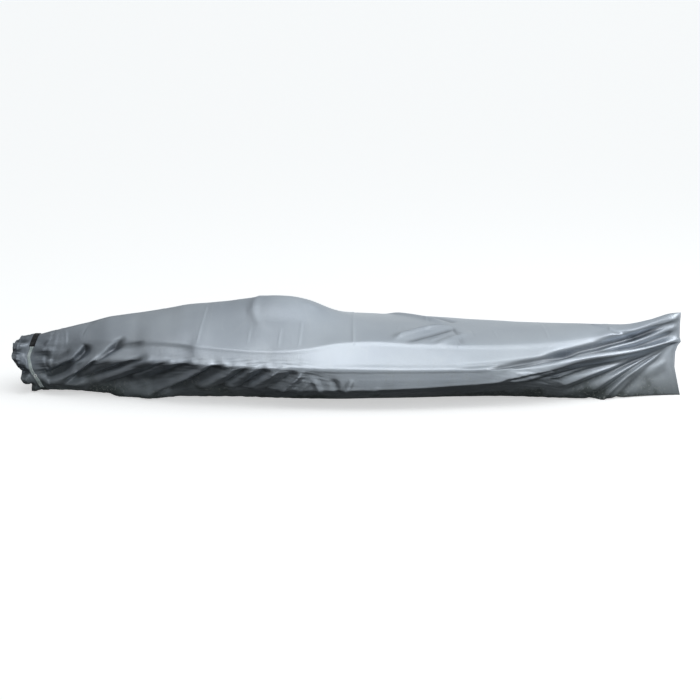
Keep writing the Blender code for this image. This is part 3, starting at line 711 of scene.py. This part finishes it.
# A stitch: its rings as shares of its length, swell and rise in radii, and corners in each ring
STITCH_RINGS = ((0.0, 0.35, -0.2), (0.2, 0.9, 0.7), (0.8, 0.9, 0.7), (1.0, 0.35, -0.2))
RING = 6


def stitches(name, line, normals, material, pitch=0.005, length=0.0034, radius=0.00035):
    """A row of thread stitches along a line of points on the cloth."""
    line = np.asarray(line, float)
    along = run_along(line)
    count = int(along[-1] / pitch)
    points, faces = [], []

    def at(s):
        return np.array([np.interp(s, along, line[:, k]) for k in range(3)])

    for i in range(count):
        start = (i + 0.2) * pitch
        mid = start + length / 2
        normal = np.array([np.interp(mid, along, normals[:, k]) for k in range(3)])
        normal /= np.linalg.norm(normal)
        side = np.cross(at(start + length) - at(start), normal)
        side /= max(np.linalg.norm(side), 1e-9)
        base = len(points)
        for share, swell, rise in STITCH_RINGS:
            centre = at(start + share * length) + normal * radius * rise
            for c in range(RING):
                angle = c * 2 * math.pi / RING
                around = side * math.cos(angle) + normal * math.sin(angle)
                points.append(centre + radius * swell * around)
        last = base + RING * (len(STITCH_RINGS) - 1)
        for ring in range(base, last, RING):
            for c in range(RING):
                a, b = ring + c, ring + (c + 1) % RING
                faces.append((a, b, b + RING, a + RING))
        faces += [tuple(base + RING - 1 - c for c in range(RING)), tuple(last + c for c in range(RING))]
    return new_mesh(name, home(points), faces, material)


def feed(tree, sockets, values):
    """Links or sets each socket that values names."""
    for key, value in values.items():
        if isinstance(value, bpy.types.NodeSocket):
            tree.links.new(value, sockets[key])
        else:
            sockets[key].default_value = value


def node(tree, kind, inputs=None, **settings):
    """A new node with its settings, and its inputs linked or set."""
    made = tree.nodes.new(kind)
    for name, value in settings.items():
        setattr(made, name, value)
    feed(tree, made.inputs, inputs or {})
    return made


def maths(tree, operation, a, b=0.0, clamp=False):
    """The result of one operation on two values."""
    return node(tree, "ShaderNodeMath", {0: a, 1: b}, operation=operation, use_clamp=clamp).outputs[0]


def times(tree, a, b, clamp=False):
    """The product of two values."""
    return maths(tree, "MULTIPLY", a, b, clamp)


def one_less(tree, value, clamp=False):
    """What is left of 1 when the value is taken off."""
    return maths(tree, "SUBTRACT", 1.0, value, clamp)


def vectors(tree, operation, *values):
    """The result of one operation on vectors."""
    return node(tree, "ShaderNodeVectorMath", dict(enumerate(values)), operation=operation).outputs[0]


def spread(tree, value, low, high, to_low=0.0, to_high=1.0):
    """The value's range low to high, spread softly over to_low to to_high."""
    ends = {0: value, 1: low, 2: high, 3: to_low, 4: to_high}
    return node(tree, "ShaderNodeMapRange", ends, interpolation_type="SMOOTHSTEP").outputs[0]


def mixed(tree, share, a, b):
    """Colour a with a share of colour b over it."""
    a, b = (v if isinstance(v, bpy.types.NodeSocket) else (*v, 1.0) for v in (a, b))
    return node(tree, "ShaderNodeMix", {0: share, 6: a, 7: b}, data_type="RGBA").outputs[2]


def layered(tree, tone, layers):
    """The tone under thin layers, each given as a mask, its share and a colour."""
    for mask, share, colour in layers:
        tone = mixed(tree, times(tree, mask, share), tone, colour)
    return tone


def noise(tree, place, scale, detail):
    """A cloudy value between 0 and 1."""
    return node(tree, "ShaderNodeTexNoise", {"Vector": place, "Scale": scale, "Detail": detail}).outputs[0]


def bumped(tree, height, strength, distance, under=None):
    """The normal of a surface raised by the height, over another normal if one is given."""
    inputs = {"Height": height, "Strength": strength, "Distance": distance}
    if under is not None:
        inputs["Normal"] = under
    return node(tree, "ShaderNodeBump", inputs).outputs[0]


def new_group(name, inputs, outputs):
    """An empty node group. Inputs without a value are vectors, the others and the outputs floats."""
    group = bpy.data.node_groups.new(name, "ShaderNodeTree")
    for label, value in inputs.items():
        kind = "NodeSocketVector" if value is None else "NodeSocketFloat"
        socket = group.interface.new_socket(label, in_out="INPUT", socket_type=kind)
        if value is not None:
            socket.default_value = value
    for label in outputs:
        group.interface.new_socket(label, in_out="OUTPUT", socket_type="NodeSocketFloat")
    return group, group.nodes.new("NodeGroupInput").outputs, group.nodes.new("NodeGroupOutput").inputs


def use(tree, group, inputs):
    """The outputs of a node group placed in the tree."""
    return node(tree, "ShaderNodeGroup", inputs, node_tree=group).outputs


def weave_group():
    """Over and under threads of a plain weave, from cloth coordinates in metres."""
    group, given, result = new_group(
        "plain weave", {"Cloth": None, "Warp per metre": 1400.0, "Weft per metre": 1400.0},
        ["Height", "Gaps"],
    )
    parts = node(group, "ShaderNodeSeparateXYZ", {0: given["Cloth"]}).outputs
    warp, weft = (
        maths(group, "SINE", times(group, times(group, part, given[threads]), math.pi))
        for part, threads in ((parts[0], "Warp per metre"), (parts[1], "Weft per metre"))
    )
    over = maths(group, "GREATER_THAN", times(group, warp, weft), 0.0)
    tall, wide = maths(group, "ABSOLUTE", warp), maths(group, "ABSOLUTE", weft)
    height = maths(group, "ADD", times(group, tall, over), times(group, wide, one_less(group, over)))
    gaps = spread(group, maths(group, "MAXIMUM", tall, wide), 0.55, 0.15)
    feed(group, result, {"Height": height, "Gaps": gaps})
    return group


def crinkle_group():
    """Sharp small creases between soft facets, as coated cloth keeps after it has been packed."""
    group, given, result = new_group(
        "packing crinkle", {"Cloth": None, "Creases per metre": 12.0}, ["Height", "Lines", "Mottle"]
    )
    drift = node(group, "ShaderNodeTexNoise", {"Vector": given["Cloth"], "Scale": 9.0}).outputs
    away = vectors(group, "SUBTRACT", drift["Color"], (0.5, 0.5, 0.5))
    bent = vectors(group, "MULTIPLY_ADD", away, (0.05, 0.1, 0.05), given["Cloth"])
    bent = vectors(group, "MULTIPLY", bent, (1.0, 0.3, 1.0))
    cells = node(
        group, "ShaderNodeTexVoronoi", {"Vector": bent, "Scale": given["Creases per metre"]},
        feature="DISTANCE_TO_EDGE",
    ).outputs[0]
    facets = noise(group, bent, given["Creases per metre"], 3.0)
    lines = times(group, spread(group, cells, 0.06, 0.0), spread(group, drift[0], 0.42, 0.62))
    height = maths(group, "ADD", facets, times(group, lines, 0.06))
    mottle = noise(group, given["Cloth"], 2.3, 4.0)
    feed(group, result, {"Height": height, "Lines": lines, "Mottle": mottle})
    return group


# How much higher than the dirt and painted shade near the floor the specks are splashed
SPLASH_REACH = 1.7


def dirt_and_shade_group():
    """Masks of the darkening near the floor, which is dirt and painted shade together, and of dried specks
    splashed higher up.
    """
    group, given, result = new_group(
        "ground dirt and shade", {"Place": None, "Floor height": -HOME_Z, "Reach": 0.145}, ["Dirt and shade", "Specks"]
    )
    place, reach = given["Place"], given["Reach"]
    up = node(group, "ShaderNodeSeparateXYZ", {0: place}).outputs[2]
    above = maths(group, "SUBTRACT", up, given["Floor height"])
    near_floor, splashed = (
        one_less(group, maths(group, "DIVIDE", above, end), True)
        for end in (reach, times(group, reach, SPLASH_REACH))
    )
    blotch = spread(group, noise(group, place, 7.0, 6.0), 0.4, 0.7)
    grains = spread(group, noise(group, place, 95.0, 2.0), 0.57, 0.64)
    # Darker near the floor, blotched: dirt and painted shade of the underside together
    dirt_and_shade = times(group, near_floor, maths(group, "ADD", 0.85, blotch), True)
    specks = times(group, times(group, grains, splashed), maths(group, "ADD", 0.3, blotch), True)
    feed(group, result, {"Dirt and shade": dirt_and_shade, "Specks": specks})
    return group


WEAVE = weave_group()
CRINKLE = crinkle_group()
GROUND_DIRT_AND_SHADE = dirt_and_shade_group()


def new_material(name):
    """A material with its node tree and its Principled BSDF."""
    material = bpy.data.materials.new(name)
    material.use_nodes = True
    tree = material.node_tree
    return material, tree, tree.nodes["Principled BSDF"]


def silver_cloth():
    """Woven polyester with a silver coating: satin, faintly blue, creased, with painted shade in the
    troughs of its folds and over the neck, and darker near the floor from dirt and painted shade.
    """
    material, tree, shader = new_material("silver_cloth")
    cloth = node(tree, "ShaderNodeUVMap", uv_map="cloth").outputs[0]
    place = node(tree, "ShaderNodeTexCoord").outputs["Object"]
    weave = use(tree, WEAVE, {"Cloth": cloth, "Warp per metre": 900.0, "Weft per metre": 900.0})
    crinkle = use(tree, CRINKLE, {"Cloth": cloth, "Creases per metre": 11.0})
    ground = use(tree, GROUND_DIRT_AND_SHADE, {"Place": place})
    dirt_and_shade = ground["Dirt and shade"]
    depth = node(tree, "ShaderNodeAttribute", attribute_name="fold_depth").outputs["Fac"]
    inside = node(tree, "ShaderNodeNewGeometry").outputs["Backfacing"]
    along = node(tree, "ShaderNodeSeparateXYZ", {0: place}).outputs[0]
    neck = NECK_X - HOME_X
    # Painted shade: full from the neck outward through the ruffle, fading to nothing 0.16 m along the cover
    neck_shade = spread(tree, along, neck + 0.16, neck - 0.01)

    mottle = spread(tree, crinkle["Mottle"], 0.3, 0.7)
    silver = layered(tree, mixed(tree, mottle, (0.49, 0.535, 0.6), (0.58, 0.625, 0.68)), (
        # Painted shade in the troughs of the folds
        (spread(tree, depth, 0.0, -1.0), 0.68, (0.15, 0.165, 0.185)),
        # Painted shade over the neck and the ruffle
        (neck_shade, 0.74, (0.16, 0.18, 0.21)),
        (crinkle["Lines"], 0.08, (0.72, 0.74, 0.75)),
        (weave["Gaps"], 0.25, (0.3, 0.32, 0.34)),
        # Dirt and painted shade near the floor, darkest at it
        (dirt_and_shade, 0.88, (0.06, 0.073, 0.066)),
        (ground["Specks"], 0.6, (0.46, 0.48, 0.46)),
        (inside, 0.75, (0.16, 0.17, 0.18)),
    ))
    rough = spread(tree, crinkle["Mottle"], 0.25, 0.75, 0.31, 0.4)
    facets = bumped(tree, crinkle["Height"], 0.2, 0.004)
    feed(tree, shader.inputs, {
        "Base Color": silver,
        "Roughness": maths(tree, "ADD", rough, times(tree, dirt_and_shade, 0.25), True),
        "Metallic": spread(tree, maths(tree, "MAXIMUM", dirt_and_shade, inside), 0.0, 1.0, 0.8, 0.15),
        "Specular IOR Level": 0.35,
        "Sheen Weight": 0.015,
        "Normal": bumped(tree, weave["Height"], 0.35, 0.0002, facets),
    })
    return material


def woven_band(name, colour, worn, ribs, roughness):
    """Webbing or tape: ribs across a flat weave, with worn threads and a little dust."""
    material, tree, shader = new_material(name)
    cloth = node(tree, "ShaderNodeUVMap", uv_map="cloth").outputs[0]
    place = node(tree, "ShaderNodeTexCoord").outputs["Object"]
    weave = use(tree, WEAVE, {"Cloth": cloth, "Warp per metre": ribs, "Weft per metre": ribs * 0.8})
    dirt_and_shade = use(tree, GROUND_DIRT_AND_SHADE, {"Place": place, "Reach": 0.16})["Dirt and shade"]
    wear = noise(tree, place, 60.0, 5.0)
    tone = layered(tree, mixed(tree, spread(tree, wear, 0.35, 0.75), colour, worn), (
        (weave["Gaps"], 0.5, (0.02, 0.02, 0.02)),
        # A little dust near the floor, from the mask that also carries the cloth's painted shade
        (dirt_and_shade, 0.22, (0.24, 0.26, 0.24)),
    ))
    feed(tree, shader.inputs, {
        "Base Color": tone,
        "Roughness": spread(tree, wear, 0.2, 0.8, roughness, roughness + 0.2),
        "Specular IOR Level": 0.22,
        "Sheen Weight": 0.04,
        "Normal": bumped(tree, weave["Height"], 0.8, 0.0005),
    })
    return material


def sewing_thread():
    """Grey polyester thread, a twisted two ply."""
    material, tree, shader = new_material("sewing_thread")
    place = node(tree, "ShaderNodeTexCoord").outputs["Object"]
    twist = {"Vector": place, "Scale": 900.0, "Distortion": 2.0}
    ply = node(tree, "ShaderNodeTexWave", twist).outputs["Fac"]
    feed(tree, shader.inputs, {
        "Base Color": mixed(tree, ply, (0.3, 0.31, 0.33), (0.52, 0.54, 0.56)),
        "Roughness": spread(tree, ply, 0.0, 1.0, 0.55, 0.75),
        "Normal": bumped(tree, ply, 0.5, 0.0002),
    })
    return material


def eyelet_metal():
    """Pale enamelled aluminium, rubbed bright and pitted in places."""
    material, tree, shader = new_material("eyelet_metal")
    place = node(tree, "ShaderNodeTexCoord").outputs["Object"]
    pits = noise(tree, place, 700.0, 4.0)
    feed(tree, shader.inputs, {
        "Base Color": mixed(tree, spread(tree, pits, 0.45, 0.65), (0.97, 0.98, 0.97), (0.86, 0.87, 0.86)),
        "Roughness": spread(tree, pits, 0.3, 0.7, 0.28, 0.5),
        "Metallic": 0.1,
        "Normal": bumped(tree, pits, 0.3, 0.0001),
    })
    return material


# How far the thread lies off the sheet, then its line and a line behind it: at the hem as shares
# of the ruffle's reach, at the sewn end in metres from the edge
THREAD_LIFT = 0.0004
HEM_LINES = (0.8, 0.76)
SEAM_LINES = (0.012, 0.016)


def sew_hem(thread):
    """Thread round the mouth's turned hem, on the outside of the ruffle."""
    places = np.linspace(-0.999, 1.0, 900)
    outer, inner = (ruffle_row(t, places)[0] for t in HEM_LINES)
    normal = unit(np.cross(np.gradient(outer, axis=0), inner - outer))
    middle = outer.mean(axis=0)
    facing = np.sign(np.sum(normal * (outer - middle) * (0, 1, 1)))
    return stitches("hem_stitches", outer + facing * normal * THREAD_LIFT, facing * normal, thread)


def sew_end_seam(thread):
    """Two rows of thread down the sewn end, one on each face of it."""
    shares = np.linspace(0.03, 0.97, 260)
    places = np.concatenate([shares, -shares[::-1]])
    front, behind = (cover_row(SEAM_X - back, places)[0] for back in SEAM_LINES)
    half = len(shares)
    made = []
    for name, mine, outward in (
        ("seam_stitches_near", slice(0, half), -1), ("seam_stitches_far", slice(half, None), 1),
    ):
        line, back = front[mine], behind[mine]
        normal = unit(np.cross(np.gradient(line, axis=0), line - back))
        normal *= np.where(normal[:, 1] * outward < 0, -1.0, 1.0)[:, None]
        made.append(stitches(name, line + normal * THREAD_LIFT, normal, thread))
    return made


# The studio's floor: half its side, its tone and the light that it gives off
FLOOR_REACH = 2000.0
FLOOR_TONE = 0.8
FLOOR_GLOW = 0.52

# The studio's surround: the height looked at, from -1 straight down to 1 overhead, and its light
SURROUND = (
    (-1.0, 0.012), (1.0, 0.8), (-0.6, 0.015), (-0.3, 0.77), (0.0, 0.6), (0.3, 0.6), (0.6, 0.68),
    (0.85, 0.72),
)

# The paper's tone at the horizon, for low views that look past the floor
HORIZON = (0.9, 0.93, 0.94)

# Soft boxes: name, place, the point that they face, length, width and power
SOFTBOXES = (
    ("overhead_softbox", (0.31, -1.08, 3.0), (0.17, -0.2, 0.2), 1.52, 1.45, 11.4),
    ("left_softbox", (-1.15, -1.08, 2.9), (-0.8, -0.2, 0.2), 1.2, 1.4, 4.2),
    ("right_softbox", (3.25, -0.6, 2.5), (1.4, -0.2, 0.2), 1.4, 2.0, 22.0),
)


def lay_floor():
    """Pale paper that glows a little, so that it stays even under the soft boxes."""
    material, tree, shader = new_material("floor_paper")
    feed(tree, shader.inputs, {
        "Base Color": (FLOOR_TONE, FLOOR_TONE, FLOOR_TONE, 1.0), "Roughness": 0.9,
        "Emission Color": (1.0, 1.0, 1.0, 1.0), "Emission Strength": FLOOR_GLOW,
    })
    turns = ((-1, -1), (1, -1), (1, 1), (-1, 1))
    corners = [(FLOOR_REACH * x, FLOOR_REACH * y, -HOME_Z) for x, y in turns]
    floor = new_mesh("studio_floor", corners, [(0, 1, 2, 3)], material, smooth_shaded=False)
    floor.visible_glossy = False
    floor.visible_diffuse = False


def surround_with_light():
    """A surround graded in height, darker at the left and low down, and plain where it is seen."""
    world = bpy.data.worlds.new("studio_surround")
    bpy.context.scene.world = world
    world.use_nodes = True
    tree = world.node_tree
    heading = node(tree, "ShaderNodeTexCoord").outputs["Generated"]
    axes = node(tree, "ShaderNodeSeparateXYZ", {0: heading}).outputs
    up = node(tree, "ShaderNodeMath", {0: axes[2], 1: 0.5, 2: 0.5}, operation="MULTIPLY_ADD")
    ramp = node(tree, "ShaderNodeValToRGB", {0: up.outputs[0]})
    bands = ramp.color_ramp.elements
    for k, (height, light) in enumerate(SURROUND):
        band = bands[k] if k < 2 else bands.new(1.0)
        band.position = height * 0.5 + 0.5
        band.color = (light * 0.93, light * 0.98, light, 1.0)
    low_left = spread(tree, axes[0], -0.3, -0.02, 0.12, 1.4)
    low_right = spread(tree, axes[0], 0.1, 0.3, 1.0, 0.5)
    high_left = spread(tree, axes[0], -0.7, 0.35, 0.28, 1.18)
    right = spread(tree, axes[0], 0.25, 0.8, 1.0, 0.72)
    raised = spread(tree, axes[2], 0.05, 0.3)
    low_part = times(tree, times(tree, low_left, one_less(tree, raised)), low_right)
    high_part = times(tree, high_left, raised)
    strength = times(tree, maths(tree, "ADD", low_part, high_part), right)
    seen = node(tree, "ShaderNodeLightPath").outputs["Is Camera Ray"]
    feed(tree, tree.nodes["Background"].inputs, {
        "Color": mixed(tree, seen, ramp.outputs[0], HORIZON),
        "Strength": maths(tree, "ADD", times(tree, strength, one_less(tree, seen)), seen),
    })


def hang_softboxes():
    """Three soft boxes: a broad one overhead, a weak one at the left, a strong one at the right."""
    for name, place, facing, length, width, power in SOFTBOXES:
        light = bpy.data.lights.new(name, "AREA")
        light.shape = "RECTANGLE"
        light.size, light.size_y, light.energy = length, width, power
        lamp = add_to_scene(name, light)
        lamp.location = home(place)
        towards = Vector(home(facing)) - Vector(lamp.location)
        lamp.rotation_euler = towards.to_track_quat("-Z", "Y").to_euler()


# The camera, as the photograph's outline asks for it from a distance of 6 m: the focal length and
# the image in pixels, and where it aims
FOCAL_PIXELS = 1328.0
IMAGE_PIXELS = 700.0
SENSOR = 36.0
CAMERA_DISTANCE = 6.0
CAMERA_ELEVATION = math.radians(17.0)
AIM_HEIGHT = 0.2
CAMERA_SLIDE = 0.0158
CAMERA_DROP = 0.027


def set_camera():
    """The camera at the photograph's viewing angle, 17 degrees above the floor."""
    sin, cos = math.sin(CAMERA_ELEVATION), math.cos(CAMERA_ELEVATION)
    offset = Vector((CAMERA_SLIDE, -CAMERA_DROP * sin, -CAMERA_DROP * cos))
    target = Vector((0.0, 0.0, AIM_HEIGHT)) + offset
    eye = Vector((0.0, -CAMERA_DISTANCE * cos, AIM_HEIGHT + CAMERA_DISTANCE * sin)) + offset
    data = bpy.data.cameras.new("photo_camera")
    data.sensor_width = SENSOR
    data.lens = FOCAL_PIXELS / IMAGE_PIXELS * SENSOR
    camera = add_to_scene("photo_camera", data)
    camera.location = home(eye)
    camera.rotation_euler = (target - eye).to_track_quat("-Z", "Y").to_euler()
    bpy.context.scene.camera = camera


# The places where the strap and the tape start and end, round the neck as band_on_neck counts them
STRAP_ENDS = (0.803, 2.242)
TAPE_ENDS = (0.246, 0.799)


def main():
    thread = sewing_thread()
    cover = build_cover(silver_cloth())
    strap = band_on_neck(
        "webbing_strap", *STRAP_ENDS, webbing_profile,
        woven_band("black_webbing", (0.012, 0.012, 0.014), (0.05, 0.05, 0.052), 420.0, 0.62),
    )
    tape = band_on_neck(
        "cinching_tape", *TAPE_ENDS, tape_profile,
        woven_band("pale_tape", (0.54, 0.62, 0.61), (0.8, 0.86, 0.85), 700.0, 0.45), lift_end=0.002,
    )
    hem = sew_hem(thread)
    seam = sew_end_seam(thread)
    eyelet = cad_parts["eyelet"]
    eyelet.data.materials.clear()
    eyelet.data.materials.append(eyelet_metal())
    eyelet.data.shade_smooth()

    for piece in (cover, strap, tape, hem, *seam):
        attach(piece, "root")
    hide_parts("cover")
    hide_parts("cinch_strap")
    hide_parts("cinch_tape")
    lay_floor()
    surround_with_light()
    hang_softboxes()
    set_camera()


main()
bpy.context.scene.view_settings.view_transform = "Standard"
bpy.context.view_layer.update()
